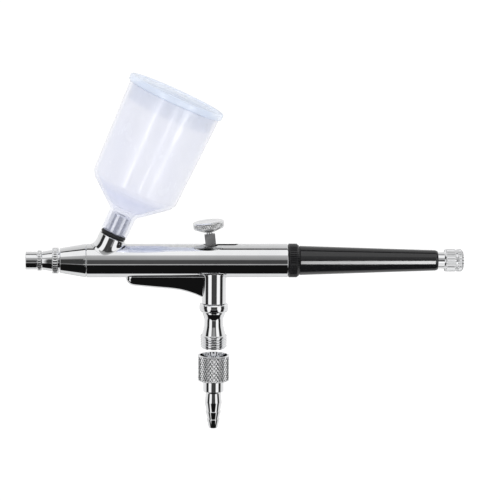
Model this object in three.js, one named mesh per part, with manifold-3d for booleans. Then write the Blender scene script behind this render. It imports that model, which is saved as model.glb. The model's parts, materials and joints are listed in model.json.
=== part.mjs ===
// Dual-action airbrush with a side-tilted gravity cup and a screw-on hose tail.
// Millimetres, +Z up. The needle lies along X with the nozzle towards -X, and the air valve
// hangs down along Z. The origin is where the needle axis crosses the air valve axis.
import * as THREE from "three";
import { mergeVertices } from "three/addons/utils/BufferGeometryUtils.js";
import Module from "manifold-3d";

const wasm = await Module();
wasm.setup();

// Driving dimensions
const NOSE_X = -69.5; // front of the needle cap
const HEAD_FRONT_X = -57.0;
const BODY_FRONT_X = -47.1;
const BODY_REAR_X = 27.3;
const HANDLE_FRONT_X = 31.55;
const HANDLE_REAR_X = 83.6;
const KNOB_FRONT_X = 85.5;
const KNOB_REAR_X = 92.6;
const BODY_R = 6.15;
const BORE_R = 4.3; // rear bore of the body, which holds the needle mechanism
const NEEDLE_R = 0.65;
const NEEDLE_BORE_R = 0.95;
const PIVOT_Z = -5.5; // height of the trigger's and back lever's rocking axis
const TRIGGER_LEAN = THREE.MathUtils.degToRad(6.4);
const LEVER_X = 3.4; // rocking axis of the back lever
const CUP_X = -41.6; // where the cup axis crosses the needle axis
const CUP_TILT = THREE.MathUtils.degToRad(24.3);
const BOSS_R = 4.45; // air valve boss under the body
const INLET_Z = -33.0; // end of the threaded air inlet
const THREAD_R = 4.86; // G1/8 crest radius
const THREAD_PITCH = 0.907;
const THREAD_DEPTH = 0.55;
const NUT_TOP_Z = -35.6;
const NUT_BOTTOM_Z = -45.3;
const TAIL_END_Z = -63.4;
const FIT_GAP = 0.03; // between brazed pieces
const BODY_SIDES = 24;

// Materials
const chrome = new THREE.MeshStandardMaterial({ color: 0xd4d6d8, roughness: 0.08, metalness: 1 });
const satinSteel = new THREE.MeshStandardMaterial({ color: 0xa6a8aa, roughness: 0.35, metalness: 1 });
const needleSteel = new THREE.MeshStandardMaterial({ color: 0xbfc1c4, roughness: 0.15, metalness: 1 });
const springSteel = new THREE.MeshStandardMaterial({ color: 0x8d9094, roughness: 0.3, metalness: 1 });
const brass = new THREE.MeshStandardMaterial({ color: 0xb99a52, roughness: 0.25, metalness: 1 });
const blackEnamel = new THREE.MeshStandardMaterial({ color: 0x121214, roughness: 0.12, metalness: 0 });
const rubber = new THREE.MeshStandardMaterial({ color: 0x1c1c1e, roughness: 0.6, metalness: 0 });
const ptfe = new THREE.MeshStandardMaterial({ color: 0xefefea, roughness: 0.5, metalness: 0 });
const cupPlastic = new THREE.MeshStandardMaterial({
  color: 0xe4e6f2,
  roughness: 0.25,
  metalness: 0,
  transparent: true,
  opacity: 0.5,
});
const lidPlastic = new THREE.MeshStandardMaterial({
  color: 0xdde2f5,
  roughness: 0.25,
  metalness: 0,
  transparent: true,
  opacity: 0.55,
});

// Welds a closed geometry, drops its empty triangles and turns its faces outwards.
function welded(geometry) {
  const bare = geometry.clone();
  bare.deleteAttribute("normal");
  bare.deleteAttribute("uv");
  const merged = mergeVertices(bare);
  const at = merged.attributes.position;
  const corners = [new THREE.Vector3(), new THREE.Vector3(), new THREE.Vector3()];
  const kept = [];
  let volume = 0;
  for (let i = 0; i < merged.index.count; i += 3) {
    const ids = [0, 1, 2].map((k) => merged.index.getX(i + k));
    if (new Set(ids).size < 3) continue;
    ids.forEach((id, k) => corners[k].fromBufferAttribute(at, id));
    volume += corners[0].dot(corners[1].clone().cross(corners[2]));
    kept.push(ids);
  }
  if (volume < 0) kept.forEach((ids) => ids.reverse());
  merged.setIndex(kept.flat());
  return merged;
}

function toSolid(geometry) {
  const mesh = welded(geometry);
  const vertProperties = new Float32Array(mesh.attributes.position.array);
  const triVerts = new Uint32Array(mesh.index.array);
  return new wasm.Manifold(new wasm.Mesh({ numProp: 3, vertProperties, triVerts }));
}

function fromSolid(solid) {
  const mesh = solid.getMesh();
  const geometry = new THREE.BufferGeometry();
  geometry.setAttribute("position", new THREE.BufferAttribute(mesh.vertProperties, 3));
  geometry.setIndex(new THREE.BufferAttribute(mesh.triVerts, 1));
  return geometry;
}

// Joins all the blanks, then takes all the cutters away.
function machined(blanks, cutters) {
  const joined = blanks.map(toSolid).reduce((whole, next) => whole.add(next));
  return fromSolid(cutters.map(toSolid).reduce((whole, next) => whole.subtract(next), joined));
}

// Turns an outline of [station, radius] about the lathe axis. An outline that doesn't start on
// the axis closes on itself, as a ring does. With ribs, the stations marked as knurled get that
// many V grooves of the given depth. The outline may be given in either direction.
function lathe(outline, sides, ribs = 0, depth = 0) {
  const closed = outline[0][1] > 0 ? [...outline, outline[0]] : [...outline];
  const area = closed.reduce((sum, [station, radius], i) => {
    const [nextStation, nextRadius] = closed[(i + 1) % closed.length];
    return sum + radius * nextStation - nextRadius * station;
  }, 0);
  if (area < 0) closed.reverse();
  const points = closed.map(([station, radius]) => new THREE.Vector2(radius, station));
  const geometry = new THREE.LatheGeometry(points, ribs ? ribs * 2 : sides);
  const at = geometry.attributes.position;
  for (let i = 0; ribs && i < at.count; i += 1) {
    const column = Math.floor(i / closed.length);
    const [, radius, knurled] = closed[i % closed.length];
    const scale = knurled && column % 2 ? (radius - depth) / radius : 1;
    at.setX(i, at.getX(i) * scale);
    at.setZ(i, at.getZ(i) * scale);
  }
  return geometry;
}

// Stations run along X.
function turnedX(outline, sides = 24, ribs = 0, depth = 0) {
  return lathe(outline, sides, ribs, depth).rotateZ(-Math.PI / 2);
}

// Stations run along Z.
function turnedZ(outline, sides = 24, ribs = 0, depth = 0) {
  return lathe(outline, sides, ribs, depth).rotateX(Math.PI / 2);
}

// Stations run along the cup's tilted axis.
function turnedCup(outline, sides = 32) {
  return turnedZ(outline, sides).rotateY(CUP_TILT).translate(CUP_X, 0, 0);
}

function rod(start, end, radius) {
  return [[start, 0], [start, radius], [end, radius], [end, 0]];
}

function sleeve(start, end, inner, outer, chamfer = 0.2) {
  return [
    [start, inner],
    [start, outer - chamfer],
    [start + chamfer, outer],
    [end - chamfer, outer],
    [end, outer - chamfer],
    [end, inner],
  ];
}

function torus(station, ringRadius, sectionRadius, steps = 8) {
  const outline = [];
  for (let i = 0; i < steps; i += 1) {
    const a = (2 * Math.PI * i) / steps;
    outline.push([station + sectionRadius * Math.cos(a), ringRadius + sectionRadius * Math.sin(a)]);
  }
  return outline;
}

function box(x0, x1, y, z0, z1) {
  return new THREE.BoxGeometry(x1 - x0, 2 * y, z1 - z0).translate((x0 + x1) / 2, 0, (z0 + z1) / 2);
}

// Helix about X, from one station to the other.
class Helix extends THREE.Curve {
  constructor(start, end, radius, turns) {
    super();
    Object.assign(this, { start, end, radius, turns });
  }

  getPoint(t, target = new THREE.Vector3()) {
    const a = 2 * Math.PI * this.turns * t;
    const x = this.start + (this.end - this.start) * t;
    return target.set(x, this.radius * Math.sin(a), this.radius * Math.cos(a));
  }
}

function coil(start, end, radius, turns, wire) {
  const section = new THREE.Shape();
  const corners = 4;
  for (let i = 0; i < corners; i += 1) {
    const a = (2 * Math.PI * i) / corners;
    const place = [wire * Math.cos(a), wire * Math.sin(a)];
    if (i) section.lineTo(...place);
    else section.moveTo(...place);
  }
  return new THREE.ExtrudeGeometry(section, {
    steps: turns * 8,
    bevelEnabled: false,
    extrudePath: new Helix(start, end, radius, turns),
  });
}

const airbrush = new THREE.Group();
airbrush.name = "airbrush_gun";

function add(name, geometry, material, parent = airbrush) {
  geometry.computeVertexNormals();
  const mesh = new THREE.Mesh(geometry, material);
  mesh.name = name;
  parent.add(mesh);
}

// Nose: needle cap on the front of the nozzle cap, which screws into the spray head.
function addNose() {
  const capRear = -63.65;
  const capOutline = [
    [NOSE_X, 2.0], [NOSE_X, 3.0], [NOSE_X + 0.25, 3.25], [-65.5, 3.25], [-65.5, 3.0], [-65.2, 3.0],
    [-65.2, 3.5], [-65.05, 3.7, true], [-63.8, 3.7, true], [capRear, 3.5], [capRear, 2.5],
    [-66.3, 2.5], [-66.3, 2.0],
  ];
  add("needle_cap", turnedX(capOutline, 0, 14, 0.2), chrome);

  const nozzleCapOutline = [
    [-66.0, 1.15], [-66.0, 1.95], [-65.75, 2.2], [-63.4, 2.2], [-63.4, 3.2], [-63.2, 3.35],
    [-59.7, 3.9], [-59.7, 4.5], [-59.45, 4.75, true], [-57.7, 4.75, true], [-57.45, 4.5],
    [-57.45, 3.3], [-54.5, 3.3], [-54.5, 2.6], [-61.2, 2.6], [-64.6, 1.15],
  ];
  add("nozzle_cap", turnedX(nozzleCapOutline, 0, 14, 0.22), chrome);

  const headRear = BODY_FRONT_X - 0.25;
  const headOutline = [
    [HEAD_FRONT_X, 3.6], [HEAD_FRONT_X, 4.2], [-56.7, 4.5], [-48.0, 6.0], [headRear, 6.05],
    [headRear, 4.0], [-43.9, 4.0], [-43.9, 1.3], [-50.9, 1.3], [-50.9, 1.8], [-54.2, 1.8],
    [-54.2, 3.6],
  ];
  add("spray_head", turnedX(headOutline, BODY_SIDES), chrome);

  const nozzleOutline = [
    [-66.6, 0.3], [-66.6, 0.55], [-60.5, 1.45], [-56.3, 1.45], [-56.3, 2.2], [-55.2, 2.2],
    [-55.2, 1.5], [-51.3, 1.5], [-51.3, 1.0], [-60.2, 1.0],
  ];
  add("nozzle", turnedX(nozzleOutline, 12), brass);
  add("nozzle_seal", turnedX(sleeve(-54.95, -54.45, 1.8, 2.25, 0.1), 12), ptfe);
}

// Body shell: stepped bore for the needle, its packing and the mechanism behind the trigger.
const packingBoreRadius = 2.2;
const packingBoreFront = -12.3;
const rearBoreFront = -3.6;
const portRadius = 2.2;
const portStepRadius = 3.35;
const portStep = 6.7; // along the cup axis

function addBody() {
  const outline = [
    [BODY_FRONT_X, BORE_R], [BODY_FRONT_X, BODY_R - 0.15], [BODY_FRONT_X + 0.15, BODY_R],
    [BODY_REAR_X - 0.15, BODY_R], [BODY_REAR_X, BODY_R - 0.15], [BODY_REAR_X, BORE_R],
    [rearBoreFront, BORE_R], [rearBoreFront, packingBoreRadius],
    [packingBoreFront, packingBoreRadius], [packingBoreFront, NEEDLE_BORE_R],
    [-33, NEEDLE_BORE_R], [-33, 1.6], [-43.5, 1.6], [-43.5, BORE_R],
  ];
  const slotHalfWidth = 1.65;
  const slotFront = -4.2;
  const slotRear = 8.8;
  const slotFloor = 2.6;
  const aboveBody = BODY_R + 1;
  const slotEnd = (x) => turnedZ(rod(slotFloor, aboveBody, slotHalfWidth), 12).translate(x, 0, 0);
  const footHoleRadius = 2.9;
  const port = [
    [0, 0], [0, portRadius], [portStep, portRadius], [portStep, portStepRadius],
    [12, portStepRadius], [12, 0],
  ];
  const cutters = [
    box(slotFront + slotHalfWidth, slotRear - slotHalfWidth, slotHalfWidth, slotFloor, aboveBody),
    slotEnd(slotFront + slotHalfWidth),
    slotEnd(slotRear - slotHalfWidth),
    turnedZ(rod(3.0, aboveBody, 2.75), 16).translate(-1.0, 0, 0),
    turnedZ(rod(-aboveBody, -3.4, footHoleRadius), 20),
    box(-footHoleRadius, 3.3, 2.1, -aboveBody, -3.4),
    turnedCup(port, 16),
  ];
  add("main_body", machined([turnedX(outline, BODY_SIDES)], cutters), chrome);
}

// The outside of the body, a hair oversize, for shaping what is brazed to it.
function bodyEnvelope() {
  return turnedX(rod(BODY_FRONT_X - 5, BODY_REAR_X, BODY_R + FIT_GAP), BODY_SIDES);
}

function addBrazedPieces() {
  const seat = [
    [3.0, portStepRadius], [3.0, 6.1], [4.4, 6.0], [5.2, 5.5], [6.2, 5.15], [7.4, 4.95],
    [9.6, 4.95], [9.9, 4.7], [9.9, portStepRadius],
  ];
  add("cup_seat", machined([turnedCup(seat, 20)], [bodyEnvelope()]), chrome);

  const bossOutline = [
    [-3.5, 2.9], [-3.5, BOSS_R], [-15.8, BOSS_R], [-16.0, BOSS_R - 0.2], [-16.0, 3.2],
    [-13.0, 3.2], [-13.0, 1.25], [-10.6, 1.25], [-10.6, 2.9],
  ];
  add("valve_boss", machined([turnedZ(bossOutline, 24)], [bodyEnvelope()]), chrome);

  const top = -4.2;
  const lowerEdge = [
    [-32.7, -6.2], [-32.2, -7.8], [-31.2, -8.8], [-29.6, -9.3], [-22.9, -10.0], [-15.1, -10.7],
    [-11.2, -11.4], [-7.3, -12.6], [-4.6, -13.7], [-2.8, -14.6],
  ];
  const restShape = new THREE.Shape();
  restShape.moveTo(-2.8, top);
  restShape.lineTo(-32.7, top);
  lowerEdge.forEach(([x, z]) => restShape.lineTo(x, z));
  const width = 5.0;
  const round = 0.9;
  const blank = new THREE.ExtrudeGeometry(restShape, {
    depth: width - 2 * round,
    bevelThickness: round,
    bevelSize: round,
    bevelOffset: -round,
    bevelSegments: 2,
  });
  blank.rotateX(Math.PI / 2).translate(0, width / 2 - round, 0);
  const bossCutter = turnedZ(rod(-20, 0, BOSS_R + FIT_GAP), 24);
  add("finger_rest", machined([blank], [bodyEnvelope(), bossCutter]), chrome);
}

// Needle with the parts that clamp and return it.
function addNeedleGroup() {
  const needle = [
    [-66.9, 0], [-66.9, 0.1], [-60.5, NEEDLE_R], [54.5, NEEDLE_R], [55, 0.4], [55, 0],
  ];
  add("needle", turnedX(needle, 12), needleSteel);
  add("needle_packing", turnedX(sleeve(-12.0, -8.2, NEEDLE_BORE_R, 1.9), 12), ptfe);

  const screw = turnedX(sleeve(-7.9, -4.6, NEEDLE_BORE_R, 1.9), 12);
  const screwSlot = box(-5.4, -4.2, 0.35, -3, 3);
  add("packing_screw", machined([screw], [screwSlot]), brass);

  const guide = [
    [4.2, NEEDLE_BORE_R], [4.2, 1.4], [4.3, 1.5], [5.9, 1.5], [5.9, 3.2], [7.5, 3.2], [7.5, 1.75],
    [40, 1.75], [40, NEEDLE_BORE_R],
  ];
  add("chuck_guide", turnedX(guide, 14), satinSteel);
  add("needle_spring", coil(7.9, 20.0, 2.5, 7, 0.35), springSteel);

  const springCase = [
    [10.4, 3.3], [10.4, 3.95], [22.4, 3.95], [22.6, 3.75], [22.6, 2.05], [20.4, 2.05], [20.4, 3.3],
  ];
  add("spring_case", turnedX(springCase, 16), brass);

  const chuckNut = [
    [36.5, 2.05], [36.5, 2.65], [36.75, 2.9, true], [43.4, 2.9, true], [44, 2.5],
    [44, NEEDLE_BORE_R], [41, NEEDLE_BORE_R], [41, 2.05],
  ];
  add("chuck_nut", turnedX(chuckNut, 0, 9, 0.2), satinSteel);
}

// Trigger: a button on a flat stem, rocking on its foot, and the lever that it pushes back.
function addTrigger() {
  const trigger = new THREE.Group();
  trigger.position.set(0, 0, PIVOT_Z);
  trigger.rotation.y = -TRIGGER_LEAN;
  airbrush.add(trigger);

  const stemTop = 15.6;
  const button = [
    [14.2, 0], [14.2, 1.1], [16.5, 1.1], [16.5, 2.3], [17.3, 3.15], [17.3, 5.3], [17.7, 5.75],
    [19.9, 5.75], [20.3, 5.35], [20.3, 4.6], [20.05, 3.0], [19.95, 0],
  ];
  add("trigger_button", turnedZ(button, 24), chrome, trigger);

  const footRadius = 1.45;
  const paddleHalfWidth = 1.8;
  const stemHalfWidth = 1.4; // clear of the slot's sides
  const blanks = [
    box(-1.95, 1.95, stemHalfWidth, 11.3, stemTop),
    box(-footRadius, footRadius, stemHalfWidth, 8.5, 11.5),
    box(-footRadius, footRadius, paddleHalfWidth, 0, 8.7),
    new THREE.CylinderGeometry(footRadius, footRadius, 2 * paddleHalfWidth, 14),
  ];
  const cutters = [
    box(-3, 3, 0.85, 4.4, 9.1),
    turnedZ(rod(13.9, stemTop + 1, 1.3), 12),
  ];
  add("trigger_stem", machined(blanks, cutters), satinSteel, trigger);

  const lever = new THREE.Group();
  lever.position.set(LEVER_X, 0, PIVOT_Z);
  lever.rotation.y = -TRIGGER_LEAN;
  airbrush.add(lever);
  const plate = box(-0.8, 0.8, 2.2, 2.4, 8.4);
  const needleWindow = box(-2, 2, 0.95, 4.4, 7.1);
  add("back_lever", machined([plate], [needleWindow]), satinSteel, lever);
}

// Air valve: the trigger presses the plunger, which lifts off its seat against a spring.
function addAirValve() {
  const plunger = [
    [-7.05, 0], [-7.05, 2.2], [-7.3, 2.5], [-8.2, 2.5], [-8.5, 2.2], [-8.5, 0.95], [-15.45, 0.95],
    [-15.45, 1.7], [-15.65, 1.9], [-16.9, 1.9], [-17.0, 1.2], [-17.9, 1.2], [-17.9, 0],
  ];
  add("valve_plunger", turnedZ(plunger, 12), brass);
  add("valve_o_ring", turnedZ(torus(-15.05, 1.5, 0.3, 5), 12), rubber);

  const body = [
    [-13.4, 1.4], [-13.4, 2.9], [-16.15, 2.9], [-16.15, 4.8], [-16.6, 5.2], [-17.6, 5.3],
    [-18.6, 5.2], [-19.1, 4.8], [-19.1, 4.2], [-19.7, 4.2], [-20.8, 3.7], [-22.5, 3.4],
    [-24.8, 3.6], [-27.7, 4.25],
  ];
  const threadTop = -28.2;
  const crests = 5;
  for (let i = 0; i < crests; i += 1) {
    const root = threadTop - i * THREAD_PITCH;
    body.push([root, THREAD_R - THREAD_DEPTH]);
    body.push([root - THREAD_PITCH / 2, THREAD_R]);
  }
  body.push([INLET_Z, THREAD_R - THREAD_DEPTH], [INLET_Z, 2.5], [-14.6, 2.5], [-14.6, 1.4]);
  add("valve_body", turnedZ(body, 20), chrome);

  const spring = coil(17.35, 26.85, 1.75, 6, 0.28).rotateY(Math.PI / 2);
  add("valve_spring", spring, springSteel);
  const screw = turnedZ(sleeve(-30.6, -27.2, 0.8, 2.2), 12);
  const screwSlot = box(-3, 3, 0.4, -31, -29.8);
  add("valve_screw", machined([screw], [screwSlot]), brass);
}

// Tapered handle with the knob that limits the needle's travel.
function addHandle() {
  const collar = [
    [BODY_REAR_X + 0.25, 4.25], [BODY_REAR_X + 0.25, 6.0], [BODY_REAR_X + 0.45, 6.25, true],
    [30.5, 6.25, true], [31.35, 5.6], [31.35, 4.25],
  ];
  add("handle_collar", turnedX(collar, 0, 20, 0.2), blackEnamel);

  const handle = [
    [23.2, 3.3], [23.2, 3.75], [23.4, 3.95], [HANDLE_FRONT_X, 3.95], [HANDLE_FRONT_X, 5.2],
    [31.8, 5.4], [50, 4.81], [67, 4.26], [81.9, 3.78], [82.8, 3.65], [83.4, 3.4],
    [HANDLE_REAR_X, 3.15], [81, 3.15], [81, 3.3],
  ];
  add("handle", turnedX(handle, 20), blackEnamel);
  add("handle_bush", turnedX(sleeve(68, 80.6, 1.8, 3.0), 12), brass);
  add("limit_rod", turnedX(rod(58.6, 89.5, 1.5), 12), satinSteel);

  const hubFront = 82.2; // the knob's hub runs into the back of the handle
  const knob = [
    [hubFront, 0], [hubFront, 2.8], [hubFront + 0.2, 3.0], [KNOB_FRONT_X, 3.0],
    [86.4, 4.12, true], [89.7, 4.12, true], [89.8, 3.75], [90.2, 3.75],
    [90.3, 4.12, true], [91.8, 4.12, true], [92.35, 3.85], [KNOB_REAR_X, 3.4], [KNOB_REAR_X, 0],
  ];
  const rodHole = turnedX(rod(hubFront - 1, 90, 1.8), 12);
  add("limit_knob", machined([turnedX(knob, 0, 14, 0.4)], [rodHole]), chrome);
}

// Gravity cup: metal nipple and O-ring in a plastic neck, closed by a press-in lid.
function addCup() {
  const nipple = [
    [7.0, 1.7], [7.0, 2.8], [7.2, 3.0], [11.9, 3.0], [11.9, 3.65], [18.3, 3.65], [18.6, 3.35],
    [18.6, 1.7],
  ];
  add("cup_nipple", turnedCup(nipple, 18), chrome);
  add("cup_o_ring", turnedCup(torus(10.75, 4.0, 0.77, 6), 20), rubber);

  const cup = [
    [11.6, 3.95], [11.6, 4.8], [11.85, 5.05], [18.7, 5.05], [19.4, 5.25], [20.0, 5.75],
    [27.6, 14.9], [28.5, 15.85], [29.9, 16.45], [65.0, 17.75], [65.2, 17.55], [65.2, 16.55],
    [30.2, 15.3], [29.5, 15.05], [28.9, 14.5], [20.9, 4.9], [19.4, 3.95],
  ];
  add("paint_cup", turnedCup(cup, 28), cupPlastic);

  const lid = [
    [66.3, 0.9], [66.3, 14.9], [59.2, 14.9], [59.2, 15.9], [59.5, 16.1], [65.4, 16.2],
    [65.4, 18.3], [65.8, 18.6], [67.4, 18.6], [67.85, 18.2], [67.85, 16.6], [67.4, 16.1],
    [67.4, 0.9],
  ];
  add("cup_lid", turnedCup(lid, 24), lidPlastic);
}

// Hose tail with its loose coupling nut, standing off below the air inlet.
function addHoseTail() {
  const tail = [
    [-42.6, 1.0], [-42.6, 4.6], [-42.8, 4.75], [-44.0, 4.75], [-44.0, 3.75], [-49.2, 3.75],
    [-49.5, 3.4], [-49.5, 2.75],
  ];
  // each barb is a short cone with its wide edge uppermost
  const barbs = [[-53.6, 3.1, 2.5], [-57.1, 2.8, 2.05], [-60.1, 2.35, 1.55]];
  const barbEnds = [-57.0, -60.0, TAIL_END_Z];
  barbs.forEach(([top, wide, narrow], i) => {
    tail.push([top, wide], [barbEnds[i], narrow]);
  });
  tail.push([TAIL_END_Z, 1.0]);
  add("hose_tail", turnedZ(tail, 16), chrome);

  const nut = [
    [NUT_TOP_Z, 5.15], [NUT_TOP_Z, 5.5], [NUT_TOP_Z - 0.35, 5.85, true],
    [NUT_BOTTOM_Z + 0.35, 5.85, true], [NUT_BOTTOM_Z, 5.5], [NUT_BOTTOM_Z, 4.05], [-44.4, 4.05],
    [-44.4, 5.15],
  ];
  add("coupling_nut", turnedZ(nut, 0, 18, 0.25), chrome);
  add("nut_seal", turnedZ(sleeve(-42.3, -41.5, 1.6, 4.7), 16), rubber);
}

addNose();
addBody();
addBrazedPieces();
addNeedleGroup();
addTrigger();
addAirValve();
addHandle();
addCup();
addHoseTail();

export default airbrush;
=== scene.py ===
"""Looks of a dual-action airbrush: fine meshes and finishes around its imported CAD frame.

Outlines are in millimetres along a piece's own axis; meshes are in metres, +Z up. The needle
lies along X with the nozzle towards -X, and the air valve hangs down along Z.
"""
import json
import math

import bmesh
import bpy
import numpy as np
from mathutils import Matrix, Vector


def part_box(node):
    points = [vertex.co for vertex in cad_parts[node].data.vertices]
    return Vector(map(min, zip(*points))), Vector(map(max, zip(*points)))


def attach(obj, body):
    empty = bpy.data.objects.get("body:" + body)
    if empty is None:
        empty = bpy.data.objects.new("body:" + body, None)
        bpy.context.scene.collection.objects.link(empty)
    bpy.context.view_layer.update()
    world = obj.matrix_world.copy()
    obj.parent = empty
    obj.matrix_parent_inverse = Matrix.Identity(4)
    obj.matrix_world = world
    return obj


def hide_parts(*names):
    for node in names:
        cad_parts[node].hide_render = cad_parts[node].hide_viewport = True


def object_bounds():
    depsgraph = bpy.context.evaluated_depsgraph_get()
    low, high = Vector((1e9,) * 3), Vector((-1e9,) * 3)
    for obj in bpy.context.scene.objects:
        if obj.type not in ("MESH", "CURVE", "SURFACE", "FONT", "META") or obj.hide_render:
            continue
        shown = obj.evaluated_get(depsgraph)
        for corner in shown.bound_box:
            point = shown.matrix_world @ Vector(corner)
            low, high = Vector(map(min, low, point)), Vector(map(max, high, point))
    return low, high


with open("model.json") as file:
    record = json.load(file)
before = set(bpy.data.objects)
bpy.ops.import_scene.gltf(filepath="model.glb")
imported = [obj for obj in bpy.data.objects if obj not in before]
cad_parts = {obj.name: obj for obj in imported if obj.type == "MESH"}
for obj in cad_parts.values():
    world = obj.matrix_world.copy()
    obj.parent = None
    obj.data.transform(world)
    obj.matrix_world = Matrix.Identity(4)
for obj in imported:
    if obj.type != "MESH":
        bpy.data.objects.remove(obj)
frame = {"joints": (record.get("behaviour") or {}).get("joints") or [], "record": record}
cad_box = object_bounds()

MM = 0.001
TAU = 2 * math.pi
FINE = 144  # sides of a turned piece that shows
COARSE = 64  # sides of a small or hidden turned piece
SHARP = math.radians(33)  # edges bent more than this stay sharp in the shading

record = frame["record"]
BODY_OF = {node: body for body, nodes in record["behaviour"]["bodies"].items() for node in nodes}
SLOT_OF = {part["node"]: part["material_slot"] for part in record["subparts"]}


# ---------------------------------------------------------------- the frame, in millimetres

def corners(node):
    """Lowest and highest corner of a CAD node."""
    low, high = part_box(node)
    return low / MM, high / MM


def span_x(node):
    """Where a node starts and ends along the needle."""
    low, high = corners(node)
    return low.x, high.x


def span_z(node):
    """A node's top and bottom."""
    low, high = corners(node)
    return high.z, low.z


def joint(name):
    """A joint of the frame by its name."""
    return next(row for row in frame["joints"] if row["name"] == name)


class Axis:
    """A line in the mirror plane that pieces are turned about."""

    def __init__(self, origin, along):
        self.origin = Vector(origin)
        self.along = Vector(along).normalized()
        self.side = Vector((0, 1, 0))
        self.out = self.along.cross(self.side)

    def place(self, station, radius, angle):
        """Points in metres; angle 0 lies in the mirror plane."""
        station, radius, angle = np.broadcast_arrays(station, radius, angle)
        across = (radius * np.cos(angle))[..., None] * np.array(self.out)
        aside = (radius * np.sin(angle))[..., None] * np.array(self.side)
        on_line = np.array(self.origin) + station[..., None] * np.array(self.along)
        return (on_line + across + aside) * MM


NEEDLE = Axis((0, 0, 0), (1, 0, 0))
VALVE = Axis((0, 0, 0), (0, 0, 1))
CUP_ALONG = Vector(joint("cup_lift")["axis"]).normalized()
ring_low, ring_high = corners("cup_o_ring")
ring_centre = (ring_low + ring_high) / 2
CUP = Axis(ring_centre - CUP_ALONG * (ring_centre.z / CUP_ALONG.z), CUP_ALONG)
PIVOT = Vector(joint("trigger_pull")["pos_m"]) / MM
LEVER_PIVOT = Vector(joint("back_lever_rock")["pos_m"]) / MM
RIM_HEIGHT = 18.8  # middle of the button's rim above the trigger's pivot
button_low, button_high = corners("trigger_button")
LEAN = math.asin(-(button_low.x + button_high.x) / 2 / RIM_HEIGHT)
TRIGGER = Axis(PIVOT, (-math.sin(LEAN), 0, math.cos(LEAN)))
BODY_R = corners("main_body")[1].y


# ---------------------------------------------------------------- meshes

def rounded(outline, ring):
    """Swaps each corner given as (station, radius, fillet) for an arc of that fillet radius."""
    steps = 6
    points = []
    for i, (station, radius, *fillet) in enumerate(outline):
        corner = Vector((station, radius))
        ends = [Vector(outline[i - 1][:2]), Vector(outline[(i + 1) % len(outline)][:2])]
        inside = ring or 0 < i < len(outline) - 1
        if not fillet or not inside:
            points.append(tuple(corner))
            continue
        before, after = (end - corner for end in ends)
        half = before.angle(after) / 2
        longest = 0.48 * min(before.length, after.length)
        cut = min(fillet[0] / math.tan(half), longest)
        bisector = (before.normalized() + after.normalized()).normalized()
        centre = corner + bisector * (cut / math.cos(half))
        first = corner + before.normalized() * cut - centre
        last = corner + after.normalized() * cut - centre
        sweep = first.angle(last)
        for k in range(steps + 1):
            t = k / steps
            arm = first * math.sin((1 - t) * sweep) + last * math.sin(t * sweep)
            points.append(tuple(centre + arm / math.sin(sweep)))
    return points


class Band:
    """A stretch of a turned surface, outside the radius `above`, cut by a pattern of depths."""

    def __init__(self, start, end, above, step, relief, fade=0.15):
        self.start, self.end = sorted((start, end))
        self.above, self.step, self.relief, self.fade = above, step, relief, fade

    def shares(self, point, after):
        """Where between two outline points the pattern needs rows, as shares of the way."""
        run = after[0] - point[0]
        if min(point[1], after[1]) <= self.above or abs(run) < 1e-4:
            return []
        enter, leave = sorted(((self.start - point[0]) / run, (self.end - point[0]) / run))
        enter, leave = max(enter, 0), min(leave, 1)
        if leave <= enter:
            return []
        count = math.ceil((leave - enter) * math.dist(point, after) / self.step)
        return [enter + (leave - enter) * k / count for k in range(count + 1)]

    def depth(self, station, radius, angle):
        """How deep the pattern is cut at each vertex."""
        edge = np.minimum(station - self.start, self.end - station) / self.fade
        return self.relief(station, angle) * np.clip(edge, 0, 1) * (radius > self.above)


def with_rows(points, bands, ring):
    """Adds the rows of vertices that a band's pattern needs."""
    rows = []
    for i, point in enumerate(points):
        rows.append(point)
        if i == len(points) - 1 and not ring:
            break
        after = points[(i + 1) % len(points)]
        shares = sorted(share for band in bands for share in band.shares(point, after))
        between = [share for share in shares if 0.001 < share < 0.999]
        rows += [tuple(Vector(point).lerp(Vector(after), share)) for share in between]
    return rows


def grid_mesh(name, points, ring):
    """A closed mesh of rows of points that each go once round, with its poles welded."""
    rows, columns = points.shape[:2]
    faces = []
    for i in range(rows if ring else rows - 1):
        near, far = i * columns, (i + 1) % rows * columns
        for j in range(columns):
            k = (j + 1) % columns
            faces.append((near + j, near + k, far + k, far + j))
    mesh = bpy.data.meshes.new(name)
    mesh.from_pydata(points.reshape(-1, 3).tolist(), [], faces)
    cleaned(mesh)
    return mesh


def cleaned(mesh):
    """Welds vertices that meet and turns every face outwards."""
    shape = bmesh.new()
    shape.from_mesh(mesh)
    bmesh.ops.remove_doubles(shape, verts=shape.verts, dist=1e-7)
    bmesh.ops.dissolve_degenerate(shape, edges=shape.edges, dist=1e-8)
    bmesh.ops.recalc_face_normals(shape, faces=shape.faces)
    shape.to_mesh(mesh)
    shape.free()


def turned(axis, outline, sides=FINE, bands=()):
    """An outline of (station, radius[, fillet]) turned about an axis.

    An outline that doesn't start on the axis closes on itself, as a ring does.
    """
    ring = outline[0][1] > 0
    rows = np.array(with_rows(rounded(outline, ring), bands, ring))
    station, radius = rows[:, :1], rows[:, 1:]
    angle = np.arange(sides)[None, :] * TAU / sides
    depth = sum(band.depth(station, radius, angle) for band in bands)
    return grid_mesh("turned", axis.place(station, radius - depth, angle), ring)


def wave(phase):
    """Triangle wave, 0 at whole numbers and 1 half way between them."""
    return 1 - np.abs(2 * (phase % 1) - 1)


def straight_knurl(count, depth, flat=0.6):
    """Straight V grooves with flat-topped ribs between them."""
    return lambda _, angle: depth * (1 - np.minimum(wave(count * angle / TAU) / flat, 1))


def diamond_knurl(count, pitch, depth, flat=0.8):
    """Two crossing sets of V grooves, leaving diamonds."""
    def relief(station, angle):
        left = wave(count * angle / TAU + station / pitch)
        right = wave(count * angle / TAU - station / pitch)
        return depth * (1 - np.minimum(np.minimum(left, right) / flat, 1))
    return relief


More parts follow.
